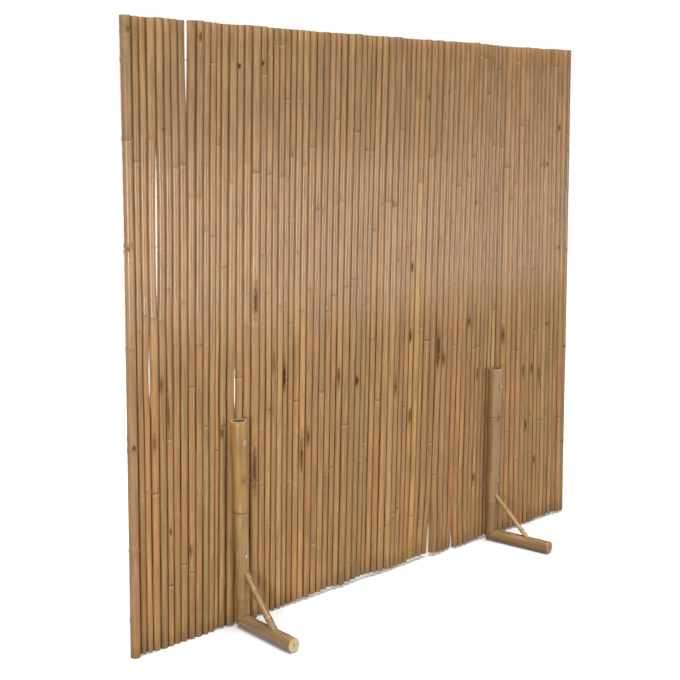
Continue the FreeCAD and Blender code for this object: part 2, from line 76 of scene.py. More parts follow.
# The relief of a node: millimetres above the ring, and how much of the relief stands there
RING_PROFILE = [
    (-14, 0.00), (-7, 0.16), (-2.5, 0.46), (-0.9, 0.70), (-0.3, 1.00), (0.5, 0.96),
    (1.3, 0.30), (2.4, 0.36), (4.2, 0.70), (6.4, 0.60), (9.5, 0.22), (14, 0.00),
]
FAR_FROM_RING = 30 * MM
# The longest stretch without a row of points
CANE_STRETCH = 70 * MM
POLE_STRETCH = 12 * MM
CHAMFER = 0.6 * MM
# A hollow end: the bore at its cross wall against its mouth, and the wall's dome against the bore
BORE_TAPER = 0.96
WALL_DOME = 0.25

# How plainly the nodes' scars show
FAINT_SCAR = 0.12
STRONG_SCAR = 0.95

# Buds: how far above the ring, how long, how wide, and how high against the node's relief
BUD_PLACE = 4.5 * MM
BUD_HALF_LENGTH = 5 * MM
BUD_HALF_TURN = 0.55
BUD_RISE = 0.6

# Gaps one can see through: place from the left edge, top and bottom as shares from the panel's
# top, how far the two canes part, and where the gap is widest as a share of its own height
Slit = namedtuple("Slit", "place top bottom opening peak")
SLITS = [
    Slit(0.213, -0.02, 0.175, 5.8 * MM, 0.0),
    Slit(0.107, 0.185, 0.465, 4.1 * MM, 0.5),
    Slit(0.080, 0.490, 0.610, 3.0 * MM, 0.5),
    Slit(0.375, 0.535, 0.650, 3.4 * MM, 0.6),
    Slit(1.222, 0.880, 1.020, 11.5 * MM, 1.0),
    Slit(1.337, 0.930, 1.020, 10.0 * MM, 1.0),
]
# How many canes on each side give way to a slit, sideways and in depth
SLIT_SPREAD = 8
SLIT_DEPTH_SPREAD = 3
# How much thinner the two canes are there, how much of their painted groove shade a slit takes away, and
# how blunt the slit's ends are
SLIT_PINCH_SHARE = 0.5
MOST_PINCH = 2.2 * MM
SLIT_SHADE_LIFT = 0.6
CLOSED_SLIT_BLUNTNESS = 0.55

# Dark places: metres from the left edge, share from the top, half length in mm, how dark
DARK_SPOTS = [
    (0.408, 0.070, 7, 0.95), (0.110, 0.570, 22, 0.50), (0.095, 0.660, 26, 0.45),
    (0.132, 0.810, 12, 0.60), (0.218, 0.850, 20, 0.45), (0.143, 0.620, 60, 0.45),
    (0.337, 0.670, 18, 0.55), (0.460, 0.455, 50, 0.70), (0.575, 0.590, 45, 0.95),
    (0.455, 0.740, 70, 0.60), (0.640, 0.740, 60, 0.65), (0.877, 0.630, 16, 0.95),
    (0.672, 0.715, 30, 0.60), (0.787, 0.615, 30, 0.55), (0.525, 0.570, 40, 0.35),
    (1.197, 0.115, 10, 0.70), (1.132, 0.430, 14, 0.60), (1.123, 0.560, 22, 0.60),
    (1.115, 0.715, 26, 0.60), (1.043, 0.650, 30, 0.55), (1.283, 0.615, 25, 0.60),
    (1.263, 0.595, 60, 0.75), (1.435, 0.550, 22, 0.60), (1.458, 0.660, 22, 0.60),
    (1.450, 0.870, 18, 0.60), (1.748, 0.790, 22, 0.60), (1.797, 0.870, 18, 0.60),
    (1.823, 0.690, 40, 0.55), (1.768, 0.670, 20, 0.65), (1.725, 0.670, 22, 0.55),
    (1.610, 0.590, 30, 0.65), (0.481, 0.063, 8, 0.95), (0.261, 0.026, 12, 0.60),
    (0.010, 0.661, 7, 0.80), (0.010, 0.352, 6, 0.50),
]
# Reddish stains, given in the same way
STAINS = [
    (0.152, 0.215, 60, 0.60), (0.773, 0.360, 120, 0.45), (0.653, 0.270, 70, 0.55),
    (1.728, 0.490, 80, 0.55), (1.940, 0.340, 90, 0.65), (1.730, 0.230, 70, 0.60),
]


# Reading the frame

def solids_of(node):
    """The separate solids of a CAD node, each as an array of its corner points."""
    welded = bmesh.new()
    welded.from_mesh(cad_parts[node].data)
    bmesh.ops.remove_doubles(welded, verts=welded.verts, dist=WELD)
    seen = set()
    solids = []
    for start in welded.verts:
        if start in seen:
            continue
        seen.add(start)
        found = [start]
        for vert in found:
            joined = {edge.other_vert(vert) for edge in vert.link_edges} - seen
            seen |= joined
            found.extend(joined)
        solids.append(np.array([vert.co[:] for vert in found]))
    welded.free()
    return solids


def rim(points, along, at_end, depth=RIM_DEPTH):
    """Centre and radius of a pole's end, from the points that lie in it."""
    edge = along.max() - depth if at_end else along.min() + depth
    near = points[along >= edge] if at_end else points[along <= edge]
    centre = (near.min(axis=0) + near.max(axis=0)) / 2
    return centre, np.linalg.norm(near - centre, axis=1).max()


def find_rings(points, line, swell):
    """Places along a culm's line where the surface swells past its straight body."""
    start, axis, length = line["start"], line["axis"], line["length"]
    distance = (points - start) @ axis
    off = np.linalg.norm(points - start - distance[:, None] * axis, axis=1)
    body = line["foot_radius"] + (line["head_radius"] - line["foot_radius"]) * distance / length
    inside = (distance > 0) & (distance < length)
    crests = np.sort(distance[inside & (off - body > swell)])
    parts = np.split(crests, np.flatnonzero(np.diff(crests) > RING_SPACING) + 1)
    return [(part[0] + part[-1]) / 2 for part in parts if len(part)]


def measure_cane(points, node):
    """A cane's line, end radii and node rings, and the CAD node that it belongs to."""
    start, foot_radius = rim(points, points[:, 2], False)
    end, head_radius = rim(points, points[:, 2], True)
    length = np.linalg.norm(end - start)
    cane = {
        "node": node, "spots": [], "start": start, "end": end, "length": length,
        "axis": (end - start) / length, "foot_radius": foot_radius, "head_radius": head_radius,
    }
    cane["rings"] = find_rings(points, cane, CREST_SWELL)
    return cane


def read_canes():
    """All canes from left to right."""
    canes = []
    for node in sorted(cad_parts):
        if node == "edge_pole" or node.startswith("canes_"):
            canes.extend(measure_cane(points, node) for points in solids_of(node))
    return sorted(canes, key=lambda cane: cane["start"][0] + cane["end"][0])


# Building culms: rows of points round an axis, joined into one mesh

def wave(length, rng, lowest, highest):
    """A smooth wandering line: a function of distance with a range of about -1 to 1."""
    parts = [(rng.uniform(lowest, highest), rng.uniform(0, math.tau)) for _ in range(3)]

    def value(distance):
        return sum(np.sin(distance / span * math.tau + start) for span, start in parts) / 2

    return value


def ring_relief(distance, rings):
    """The share of a node's relief at each distance along a culm."""
    steps, shares = zip(*RING_PROFILE)
    relief = np.zeros_like(distance)
    for ring in rings:
        relief = np.maximum(relief, np.interp((distance - ring) / MM, steps, shares))
    return relief


def row_places(length, rings, stretch):
    """Distances along a culm at which it gets a row of points."""
    places = [0, CHAMFER, length - CHAMFER, length]
    places += [ring + step * MM for ring in rings for step, _ in RING_PROFILE]
    places = sorted(place for place in places if 0 <= place <= length)
    filled = [places[0]]
    for place in places[1:]:
        start = filled[-1]
        count = int((place - start) / stretch) + 1
        filled.extend(start + (place - start) * number / count for number in range(1, count))
        filled.append(place)
    return np.array(filled)


def nearest_ring(distance, rings):
    """Distance up from the last ring and down to the next one, and the number of the nearest."""
    gaps = distance[:, None] - np.array(rings)
    above = np.where(gaps >= 0, gaps, np.inf).min(axis=1, initial=FAR_FROM_RING)
    below = np.where(gaps <= 0, -gaps, np.inf).min(axis=1, initial=FAR_FROM_RING)
    nearest = np.abs(gaps).argmin(axis=1) if len(rings) else np.zeros(len(distance), dtype=int)
    return above, below, nearest


def bud_marks(rows, angles, rings, turns, scars):
    """How much each point belongs to a bud, which sits just above a node on one side."""
    marks = np.zeros((len(rows), len(angles)))
    for ring, turn, scar in zip(rings, turns, scars):
        away = np.hypot((rows - ring - BUD_PLACE)[:, None] / BUD_HALF_LENGTH,
                        wrapped(angles - turn)[None, :] / BUD_HALF_TURN)
        marks = np.maximum(marks, scar * np.exp(-away ** 2))
    return marks


class Grid:
    """Rows of points round an axis, with what the materials read at each point."""

    def __init__(self, sides):
        self.sides = sides
        self.places = []
        self.values = {}
        self.faces = []
        self.slots = []
        self.sharp = []
        self.count = 0

    def add_row(self, points, values):
        self.places.append(points)
        for name, value in values.items():
            column = self.values.setdefault(name, [])
            column.append(np.broadcast_to(value, (len(points), len(value[0]))))
        first = self.count
        self.count += len(points)
        return first

    def join_rows(self, low, high, slot):
        for side in range(self.sides):
            after = (side + 1) % self.sides
            self.faces.append((low + side, low + after, high + after, high + side))
        self.slots.extend([slot] * self.sides)

    def cap(self, row, centre, slot, upward):
        for side in range(self.sides):
            after = (side + 1) % self.sides
            pair = (row + side, row + after) if upward else (row + after, row + side)
            self.faces.append((*pair, centre))
        self.slots.extend([slot] * self.sides)


# The materials of a culm, by their place in its piece
SKIN, SAWN, HOLLOW = 0, 1, 2


def add_culm(grid, culm):
    """Adds one closed culm to a grid: skin, sawn ends, and bores down to their cross walls."""
    sides, length, rings, axis = grid.sides, culm["length"], culm["rings"], culm["axis"]
    beside = np.cross(axis, culm["across"])
    angles = np.arange(sides) * math.tau / sides
    circle = np.outer(np.cos(angles), culm["across"]) + np.outer(np.sin(angles), beside)
    rows = row_places(length, rings, culm.get("stretch", CANE_STRETCH))
    share = rows / length
    body = culm["foot_radius"] + (culm["head_radius"] - culm["foot_radius"]) * share
    relief = culm["relief"] * (ring_relief(rows, rings) - 1)
    radius = body + relief + culm["swell"](rows) - culm["pinch"](rows)
    radius[[0, -1]] -= CHAMFER
    centres = culm["start"] + np.outer(rows, axis) + culm["bend"](rows)
    above, below, nearest = nearest_ring(rows, rings)
    internode = np.searchsorted(rings, rows)
    flank = culm["flank"](circle, rows)
    near, far = culm.get("cope", np.zeros((2, sides)))
    scars, spots = culm["scars"], culm["spots"]
    buds = bud_marks(rows, angles, rings, culm["buds"], scars)
    spot_sides = np.array([[math.exp(-(wrapped(angle - spot["angle"]) / spot["width"]) ** 2)
                            for spot in spots] for angle in angles])

    def row_values(index, skin=True):
        height = rows[index]
        return {
            "tint": [culm["tints"][internode[index]]],
            "grain": np.column_stack([circle[:, 0] * radius[index] + culm["seed"],
                                      circle @ beside * radius[index],
                                      np.full(sides, height + culm["seed"])]),
            "ring": [(above[index], below[index], scars[nearest[index]])],
            "place": np.column_stack([flank[index], np.full(sides, centres[index][2]), buds[index]]),
            "spot_side": spot_sides,
            "spot_place": [tuple(height - spot["place"] for spot in spots)],
            "spot_reach": [tuple(spot["reach"] for spot in spots)],
            "spot_depth": [tuple(spot["depth"] if skin else 0 for spot in spots)],
        }

    first_rows = []
    for index in range(len(rows)):
        around = radius[index] + culm["shape"](rows[index], angles, internode[index])
        around = around + buds[index] * culm["relief"] * BUD_RISE
        offset = near * (1 - share[index]) + far * share[index]
        points = centres[index] + circle * around[:, None] + np.outer(offset, axis)
        first_rows.append(grid.add_row(points, row_values(index)))
    for low, high in zip(first_rows, first_rows[1:]):
        grid.join_rows(low, high, SKIN)

    bore = culm["bore"]
    for index, inward, offset, depth in [
        (0, axis, near, culm["foot_bore"]), (-1, -axis, far, culm["head_bore"]),
    ]:
        mouth_values = row_values(index, skin=False)
        last, slot = first_rows[index], SAWN
        middle = centres[index] + axis * offset.mean()
        grid.sharp.append(last)
        if depth:
            mouth_place = centres[index] + circle * bore + np.outer(offset, axis)
            deep_place = centres[index] + inward * depth
            mouth = grid.add_row(mouth_place, mouth_values)
            deep = grid.add_row(deep_place + circle * bore * BORE_TAPER, mouth_values)
            grid.sharp.extend([mouth, deep])
            for outer, inner, kind in [(last, mouth, SAWN), (mouth, deep, HOLLOW)]:
                pair = (outer, inner) if index else (inner, outer)
                grid.join_rows(*pair, kind)
            last, slot = deep, HOLLOW
            middle = deep_place + inward * bore * WALL_DOME
        one = {name: value[:1] for name, value in mouth_values.items()}
        grid.cap(last, grid.add_row(middle[None, :], one), slot, upward=index < 0)


def wrapped(angle):
    """The same angle between minus and plus half a turn."""
    return (angle + math.pi) % math.tau - math.pi


def pick_scars(rng, rings, faint):
    """How plainly each node's scar shows: most are faint."""
    return [faint + (STRONG_SCAR - faint) * rng.random() ** 1.8 for _ in range(max(1, len(rings)))]


def pick_buds(rng, rings):
    """Which way each node's bud points: from side to side up the culm."""
    first = rng.uniform(-math.pi, math.pi)
    return [first + math.pi * number + rng.uniform(-0.4, 0.4) for number in range(len(rings))]


def add_object(name, data):
    made = bpy.data.objects.new(name, data)
    bpy.context.scene.collection.objects.link(made)
    return made


def dress(node, name, mesh):
    """Puts a piece in the place of a CAD node."""
    piece = add_object(name, mesh)
    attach(piece, "root")
    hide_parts(node)
    return piece


def make_piece(node, sides, culms, materials):
    """The piece of a CAD node that one or more culms stand for."""
    name = node.replace("canes", "culms") + "_bamboo"
    grid = Grid(sides)
    for culm in culms:
        add_culm(grid, culm)
    mesh = bpy.data.meshes.new(name)
    places = np.clip(np.concatenate(grid.places), np.array(cad_low), np.array(cad_high))
    mesh.from_pydata(places.tolist(), [], grid.faces)
    for key, parts in grid.values.items():
        values = np.concatenate(parts).astype(np.float32)
        kind, field = "FLOAT_VECTOR", "vector"
        if key == "tint":
            kind, field = "FLOAT_COLOR", "color"
            values = np.column_stack([values, np.ones(len(values), dtype=np.float32)])
        mesh.attributes.new(key, kind, "POINT").data.foreach_set(field, values.ravel())
    mesh.polygons.foreach_set("material_index", grid.slots)
    mesh.polygons.foreach_set("use_smooth", [True] * len(grid.faces))
    row_of = {point: row for row in grid.sharp for point in range(row, row + sides)}
    for edge in mesh.edges:
        first, second = (row_of.get(point) for point in edge.vertices)
        edge.use_edge_sharp = first is not None and first == second
    for material in materials:
        mesh.materials.append(material)
    mesh.validate()
    return dress(node, name, mesh)


def saw(piece, point, normal):
    """Cuts a piece along a plane, keeps the side that the normal points to and closes the cut.

    The cut's edge is marked like a bud, which the skin darkens.
    """
    sawn = bmesh.new()
    sawn.from_mesh(piece.data)
    geometry = sawn.verts[:] + sawn.edges[:] + sawn.faces[:]
    made = bmesh.ops.bisect_plane(sawn, geom=geometry, plane_co=point, plane_no=normal,
                                  clear_inner=True)
    edges = [item for item in made["geom_cut"] if isinstance(item, bmesh.types.BMEdge)]
    for edge in edges:
        edge.smooth = False
    for face in bmesh.ops.triangle_fill(sawn, edges=edges, use_beauty=True)["geom"]:
        if isinstance(face, bmesh.types.BMFace):
            face.material_index = SAWN
            face.smooth = False
    bmesh.ops.recalc_face_normals(sawn, faces=sawn.faces)
    layer = sawn.verts.layers.float_vector["place"]
    for vert in sawn.verts:
        if abs((np.array(vert.co) - point) @ normal) < WELD:
            vert[layer] = (*vert[layer][:2], 1)
    sawn.to_mesh(piece.data)
    sawn.free()


# Canes

PANEL_TOP = cad_high.z
# The angle round a cane that faces the camera
TOWARDS_CAMERA = math.radians(-116)
# How far the skin stands past the CAD's body, and how high the nodes rise, in mm for the canes
CANE_FIT = 0.55 * MM
CANE_RELIEF = (0.8, 1.3)
EDGE_POLE_FIT = CREST_SWELL + 0.2 * MM
EDGE_POLE_RELIEF = 1.6 * MM
# How much a cane's width and place waver
CANE_SWELL = 0.3 * MM
SIDE_WANDER = 0.35 * MM
DEPTH_WANDER = 0.9 * MM
GROOVE_HALF_TURN = 0.7
# The bore against the cane's radius, and its greatest depth
CANE_BORE = 0.62
BORE_LIMIT = 160 * MM
# Spots reach further round the cane when their half length is more than this many mm
LONG_SPOT = 12
LONG_SPOT_TURN = 0.36
SHORT_SPOT_TURN = 0.28
SPOTS_PER_CANE = 3
NO_SPOT = {"place": 0.0, "reach": 1.0, "angle": 0.0, "width": 1.0, "depth": 0.0}

# Tints and how often each is picked
CANE_TINTS = [
    ((0.420, 0.226, 0.098), 6), ((0.440, 0.246, 0.098), 4), ((0.425, 0.216, 0.096), 2),
    ((0.365, 0.218, 0.094), 3), ((0.380, 0.220, 0.104), 3), ((0.415, 0.224, 0.108), 4),
    ((0.490, 0.290, 0.130), 1),
]
# Canes that stand out: place from the left edge, from and to as shares from the top, tint
STANDING_OUT = [
    (1.155, 0.40, 0.95, (0.600, 0.360, 0.120)), (0.330, 0.45, 1.00, (0.400, 0.250, 0.110)),
    (0.545, 0.50, 1.00, (0.520, 0.330, 0.150)), (0.720, 0.50, 1.00, (0.500, 0.310, 0.130)),
    (1.010, 0.45, 1.00, (0.490, 0.315, 0.140)), (0.260, 0.55, 1.00, (0.330, 0.225, 0.105)),
    (0.870, 0.45, 1.00, (0.335, 0.205, 0.095)), (1.420, 0.50, 1.00, (0.330, 0.200, 0.095)),
    (1.560, 0.50, 1.00, (0.480, 0.300, 0.130)), (1.850, 0.30, 1.00, (0.480, 0.300, 0.140)),
]
EDGE_POLE_TINT = (0.405, 0.230, 0.115)
EDGE_POLE_TOP_TINT = (0.335, 0.205, 0.092)
# How much lighter or darker a cane is, and each length between its rings
TINT_SPREAD = 0.10
INTERNODE_SPREAD = 0.045


def pick_tint(rng):
    """A cane's tint, mixed of two and a little lighter or darker."""
    colours, weights = zip(*CANE_TINTS)
    first, second = rng.choices(colours, weights, k=2)
    share = rng.random()
    light = 1 + rng.uniform(-TINT_SPREAD, TINT_SPREAD)
    return tuple((a * share + b * (1 - share)) * light for a, b in zip(first, second))


def internode_tints(rng, tint, count):
    """A tint for each length between rings, close to the cane's own."""
    made = []
    for _ in range(count):
        light = 1 + rng.uniform(-INTERNODE_SPREAD, INTERNODE_SPREAD)
        warm = rng.uniform(-INTERNODE_SPREAD, INTERNODE_SPREAD) / 2
        made.append((tint[0] * light * (1 + warm), tint[1] * light, tint[2] * light * (1 - warm)))
    return made


def cane_x(cane, height):
    share = (height - cane["start"][2]) / (cane["end"][2] - cane["start"][2])
    return cane["start"][0] + (cane["end"][0] - cane["start"][0]) * share


def cane_at(canes, place, top_share):
    """The cane that stands at a place from the panel's left edge, at a share from its top."""
    x = cad_low.x + place
    height = PANEL_TOP * (1 - top_share)
    return min(range(len(canes)), key=lambda number: abs(cane_x(canes[number], height) - x))


def lay_spots(canes, rng):
    """Gives each cane its spots: those of the tables first, then a few at its nodes."""
    for table, sign in [(DARK_SPOTS, 1), (STAINS, -1)]:
        for place, top_share, half_length, depth in table:
            canes[cane_at(canes, place, top_share)]["spots"].append({
                "place": PANEL_TOP * (1 - top_share), "reach": half_length * MM,
                "angle": TOWARDS_CAMERA + rng.uniform(-0.25, 0.25),
                "width": LONG_SPOT_TURN if half_length > LONG_SPOT else SHORT_SPOT_TURN,
                "depth": depth * sign,
            })
    for cane in canes:
        while len(cane["spots"]) < SPOTS_PER_CANE and rng.random() < 0.5 and cane["rings"]:
            cane["spots"].append({
                "place": rng.choice(cane["rings"]) + rng.uniform(2, 14) * MM,
                "reach": rng.uniform(4, 12) * MM, "angle": rng.uniform(-math.pi, math.pi),
                "width": rng.uniform(0.25, 0.5), "depth": rng.uniform(0.3, 0.7),
            })
        cane["spots"] = (cane["spots"] + [NO_SPOT] * SPOTS_PER_CANE)[:SPOTS_PER_CANE]


def openness(heights, slit):
    """How far open a slit is at each height: 0 past its ends, 1 at its widest."""
    share = (1 - heights / PANEL_TOP - slit.top) / (slit.bottom - slit.top)
    rise, fall = np.ones((2, len(share)))
    if slit.peak > 0:
        rise = np.sin(np.clip(share / slit.peak, 0, 1) * math.pi / 2)
    if slit.peak < 1:
        fall = np.cos(np.clip((share - slit.peak) / (1 - slit.peak), 0, 1) * math.pi / 2)
    opened = np.where((share >= 0) & (share <= 1), rise * fall, 0)
    return opened ** (1 if slit.peak in (0, 1) else CLOSED_SLIT_BLUNTNESS)


def canes_left_of_slits(canes):
    """For each slit, the number of the cane to its left."""
    found = []
    for slit in SLITS:
        height = PANEL_TOP * (1 - np.clip(slit.top + (slit.bottom - slit.top) * slit.peak, 0, 1))
        middles = np.array([cane_x(cane, height) for cane in canes]) - cad_low.x
        found.append(np.abs((middles[:-1] + middles[1:]) / 2 - slit.place).argmin())
    return found


def cane_moves(number, total, left_canes):
    """How a cane wanders sideways and in depth, and how a slit beside it thins it and takes away some of
    its painted groove shade.
    """
    rng = random.Random(1000 + number)
    across = wave(PANEL_TOP, rng, 0.7, 2.2)
    depth = wave(PANEL_TOP, rng, 0.9, 2.6)
    slits = list(zip(SLITS, left_canes))
    beside = [(slit, left) for slit, left in slits if number in (left, left + 1)]

    def bend(heights):
        moved = np.zeros((len(heights), 3))
        if 0 < number < total - 1:
            moved[:, 0] += across(heights) * SIDE_WANDER
        moved[:, 1] += depth(heights) * DEPTH_WANDER
        for slit, left in slits:
            side = -1 if number <= left else 1
            rank = left - number if side < 0 else number - left - 1
            room = min(SLIT_SPREAD, left if side < 0 else total - 2 - left)
            width = openness(heights, slit) * slit.opening / 2
            moved[:, 0] += side * width * max(0, 1 - rank / room)
            moved[:, 1] -= side * width * max(0, 1 - rank / SLIT_DEPTH_SPREAD)
        return moved

    def pinch(heights):
        thinner = np.zeros(len(heights))
        for slit, _ in beside:
            most = min(MOST_PINCH, slit.opening * SLIT_PINCH_SHARE) / 2
            thinner = np.maximum(thinner, openness(heights, slit) ** 0.5 * most)
        return thinner

    def flank(circle, heights):
        """How far the surface turns from the panel's faces to a close neighbour: 0 to 1. The skin paints
        shade, with some dirt, where this is high.
        """
        turn = np.abs(np.arctan2(circle[:, 0], np.abs(circle[:, 1]))) / (math.pi / 2)
        close = np.ones((2, len(heights)))
        close[0] *= number > 0
        close[1] *= number < total - 1
        for slit, left in beside:
            # Beside an open slit a cane has no close neighbour, so less shade is painted on that flank
            close[left + 1 - number] *= 1 - SLIT_SHADE_LIFT * openness(heights, slit) ** 0.5
        return np.where(circle[:, 0] < 0, np.outer(close[0], turn), np.outer(close[1], turn))

    return {"bend": bend, "pinch": pinch, "flank": flank}


def cane_grooves(cane, rng):
    """The shallow groove above each ring, on alternate sides, in a slightly oval cane."""
    first = rng.uniform(-math.pi, math.pi)
    deepest = rng.uniform(0.1, 0.55) * MM
    oval = rng.uniform(0, 0.12) * MM
    turn = rng.uniform(0, math.tau)
    rings = [0, *cane["rings"], cane["length"]]

    def shape(height, angles, internode):
        bottom, top = rings[internode], rings[internode + 1]
        share = min(1, max(0, (height - bottom) / (top - bottom)))
        middle = first + math.pi * (internode % 2)
        depth = deepest * (1 - share) * min(1, share * 12)
        groove = depth * np.exp(-(wrapped(angles - middle) / GROOVE_HALF_TURN) ** 2)
        return oval * np.cos(2 * angles + turn) - groove

    return shape


def finish_cane(cane, number, total, left_canes):
    """Gives a cane all that its culm is built from."""
    rng = random.Random(500 + number)
    at_left = number == 0
    length, rings = cane["length"], cane["rings"]
    relief = EDGE_POLE_RELIEF if at_left else rng.uniform(*CANE_RELIEF) * MM
    body = EDGE_POLE_FIT - relief if at_left else CANE_FIT
    tint = EDGE_POLE_TINT if at_left else pick_tint(rng)
    swelling = wave(length, rng, 0.25, 0.8)
    ends = np.array([0, *rings, length])
    cane.update({
        **cane_moves(number, total, left_canes),
        "across": np.cross((0, 1, 0), cane["axis"]),
        "bore": min(cane["foot_radius"], cane["head_radius"]) * CANE_BORE,
        "foot_bore": min(ends[1], BORE_LIMIT), "head_bore": min(length - ends[-2], BORE_LIMIT),
        "foot_radius": cane["foot_radius"] + body + relief,
        "head_radius": cane["head_radius"] + body + relief,
        "relief": relief, "swell": lambda rows: swelling(rows) * CANE_SWELL,
        "shape": cane_grooves(cane, rng), "scars": pick_scars(rng, rings, FAINT_SCAR),
        "buds": pick_buds(rng, rings), "tints": internode_tints(rng, tint, len(rings) + 1),
        "seed": rng.uniform(0, 40),
    })
    if at_left:
        cane["tints"][-1] = EDGE_POLE_TOP_TINT


def build_canes(materials):
    """The panel: a piece for each CAD node, of up to three canes."""
    canes = read_canes()
    lay_spots(canes, random.Random(31))
    left_canes = canes_left_of_slits(canes)
    nodes = {}
    for number, cane in enumerate(canes):
        finish_cane(cane, number, len(canes), left_canes)
        nodes.setdefault(cane["node"], []).append(cane)
    for place, top, bottom, tint in STANDING_OUT:
        cane = canes[cane_at(canes, place, (top + bottom) / 2)]
        ends = cane["start"][2] + np.array([0, *cane["rings"], cane["length"]])
        for internode, height in enumerate((ends[:-1] + ends[1:]) / 2):
            if top < 1 - height / PANEL_TOP < bottom:
                cane["tints"][internode] = tint
    for node, members in nodes.items():
        make_piece(node, CANE_SIDES, members, materials)


# Stands

# Tints from the root end up, one for each length between rings
STAND_TINTS = {
    "left_post": [(0.272, 0.155, 0.058), (0.325, 0.190, 0.072), (0.415, 0.212, 0.060)],
    "right_post": [(0.298, 0.170, 0.080), (0.315, 0.190, 0.090), (0.345, 0.208, 0.098)],
    "left_foot": [(0.250, 0.162, 0.092), (0.238, 0.154, 0.082)],
    "right_foot": [(0.300, 0.172, 0.072), (0.270, 0.152, 0.068)],
    "left_brace": [(0.262, 0.156, 0.076), (0.250, 0.150, 0.076), (0.268, 0.160, 0.078)],
    "right_brace": [(0.460, 0.310, 0.130), (0.500, 0.335, 0.145), (0.480, 0.320, 0.135)],
}
# How plainly the rings show, from the root end up
POST_SCARS = {"left": [0.25, 0.95], "right": [0.40, 0.60]}
FOOT_SCARS = [0.2, 0.2]
BRACE_SCARS = [0.35, 0.5]
FAINT_POLE_SCAR = 0.7
# Marks on the posts: share of the length, reach, width round the post, and depth
POST_SPOTS = [(0.72, 16 * MM, 0.3, 0.35), (0.33, 22 * MM, 0.35, -0.35)]
POST_WALL = 7 * MM
PITH_RADIUS = 2.6 * MM
PITH_DEPTH = 6 * MM
# How high the nodes rise, how uneven the poles are, and how far they bow
POST_RELIEF = 2.0 * MM
FOOT_RELIEF = 1.2 * MM
BRACE_RELIEF = 0.9 * MM
POST_UNEVENNESS = 0.35 * MM
BRACE_UNEVENNESS = 0.2 * MM
POLE_BOW = 0.8 * MM
# The brace's rings as shares of its length, and its gap to post and foot
BRACE_RINGS = (0.30, 0.80)
BRACE_FIT = 0.3 * MM
# For reading the frame: how far the feet reach and turn aside, how deep a post's rough head is,
# and how far a ring swells
FOOT_REACH = 240 * MM
FOOT_DRIFTS = {"left": 0, "right": 42 * MM}
TOP_DEPTH = 1.3 * MM
POST_SWELL = 0.5 * MM
# How far each sawn face stands back from the mitre
SEAM = 0.35 * MM
UPRIGHT = np.array((0, 0, 1))
ROOT_TWO = math.sqrt(2)


def measure_stand(side, half):
    """The lines of a half stand's post and foot, and the point where they meet."""
    turn = math.asin(FOOT_DRIFTS[side] / FOOT_REACH) + (math.pi if half == "back" else 0)
    out = np.array((math.sin(turn), -math.cos(turn), 0))
    post_points = solids_of(f"{half}_{side}_post")[0]
    foot_points = solids_of(f"{half}_{side}_foot")[0]
    foot_end, foot_radius = rim(foot_points, foot_points @ out, True)
    head, head_radius = rim(post_points, post_points[:, 2], True, TOP_DEPTH)
    pivot = foot_end + out * (head[1] - foot_end[1]) / out[1]
    height = np.linalg.norm(head - pivot)
    up = (head - pivot) / height
    post = {
        "start": pivot - up * foot_end[2], "axis": up, "length": height + foot_end[2],
        "foot_radius": foot_radius, "head_radius": head_radius,
    }
    foot = {
        "start": pivot - out * foot_radius, "axis": out,
        "length": (foot_end - pivot) @ out + foot_radius,
        "foot_radius": foot_radius, "head_radius": foot_radius,
    }
    post["rings"] = find_rings(post_points, post, POST_SWELL)
    foot["rings"] = find_rings(foot_points, foot, POST_SWELL)
    return post, foot, pivot


def pole(line, across, rng, tints, unevenness=POST_UNEVENNESS, **more):
    """A thick bamboo pole with gentle unevenness, ready for a grid."""
    length, rings = line["length"], line["rings"]
    waver = wave(length, rng, 0.15, 0.6)
    bow = wave(length, rng, 0.5, 1.4)
    turn = rng.uniform(0, math.tau)

    def shape(height, angles, internode):
        lobes = np.cos(angles * 2 + turn + height * 3) + 0.5 * np.cos(angles * 3 - turn)
        return unevenness * lobes * 0.4

    return {
        **line, "across": across, "relief": POST_RELIEF, "stretch": POLE_STRETCH,
        "shape": shape, "swell": lambda rows: unevenness * (waver(rows) - 0.6),
        "pinch": lambda rows: np.zeros(len(rows)),
        "flank": lambda circle, rows: np.zeros((len(rows), len(circle))),
        "bend": lambda rows: np.outer(bow(rows) * np.sin(rows / length * math.pi), across) * POLE_BOW,
        "tints": (tints + tints[-1:] * len(rings))[:len(rings) + 1],
        "seed": rng.uniform(0, 40), "scars": pick_scars(rng, rings, FAINT_POLE_SCAR), "buds": [],
        "spots": [NO_SPOT] * SPOTS_PER_CANE, "bore": 0, "foot_bore": 0, "head_bore": 0,
        **more,
    }


def build_stand(side, half, materials):
    """One half of a stand: post and foot, sawn at their mitre, and the brace between them."""
    post, foot, pivot = measure_stand(side, half)
    rng = random.Random(f"{side} {half}")
    across = np.cross(post["axis"], foot["axis"])
    across /= np.linalg.norm(across)
    spots = [
        {"place": post["length"] * share, "reach": reach, "angle": rng.uniform(-2.6, -1.6),
         "width": width, "depth": depth}
        for share, reach, width, depth in POST_SPOTS
    ]
    culms = {
        "post": pole(post, across, rng, STAND_TINTS[f"{side}_post"],
                     bore=post["head_radius"] - POST_WALL, scars=POST_SCARS[side],
                     head_bore=post["length"] - max(post["rings"]), spots=[*spots, NO_SPOT]),
        "foot": pole(foot, np.cross(UPRIGHT, foot["axis"]), rng, STAND_TINTS[f"{side}_foot"],
                     bore=PITH_RADIUS, head_bore=PITH_DEPTH, relief=FOOT_RELIEF,
                     scars=FOOT_SCARS),
    }
    seam_normal = (UPRIGHT - foot["axis"]) / ROOT_TWO
    for part, kept_side in [("post", seam_normal), ("foot", -seam_normal)]:
        piece = make_piece(f"{half}_{side}_{part}", POST_SIDES, [culms[part]], materials)
        saw(piece, pivot + kept_side * SEAM, kept_side)
    build_brace(side, half, post, foot, pivot, rng, materials)


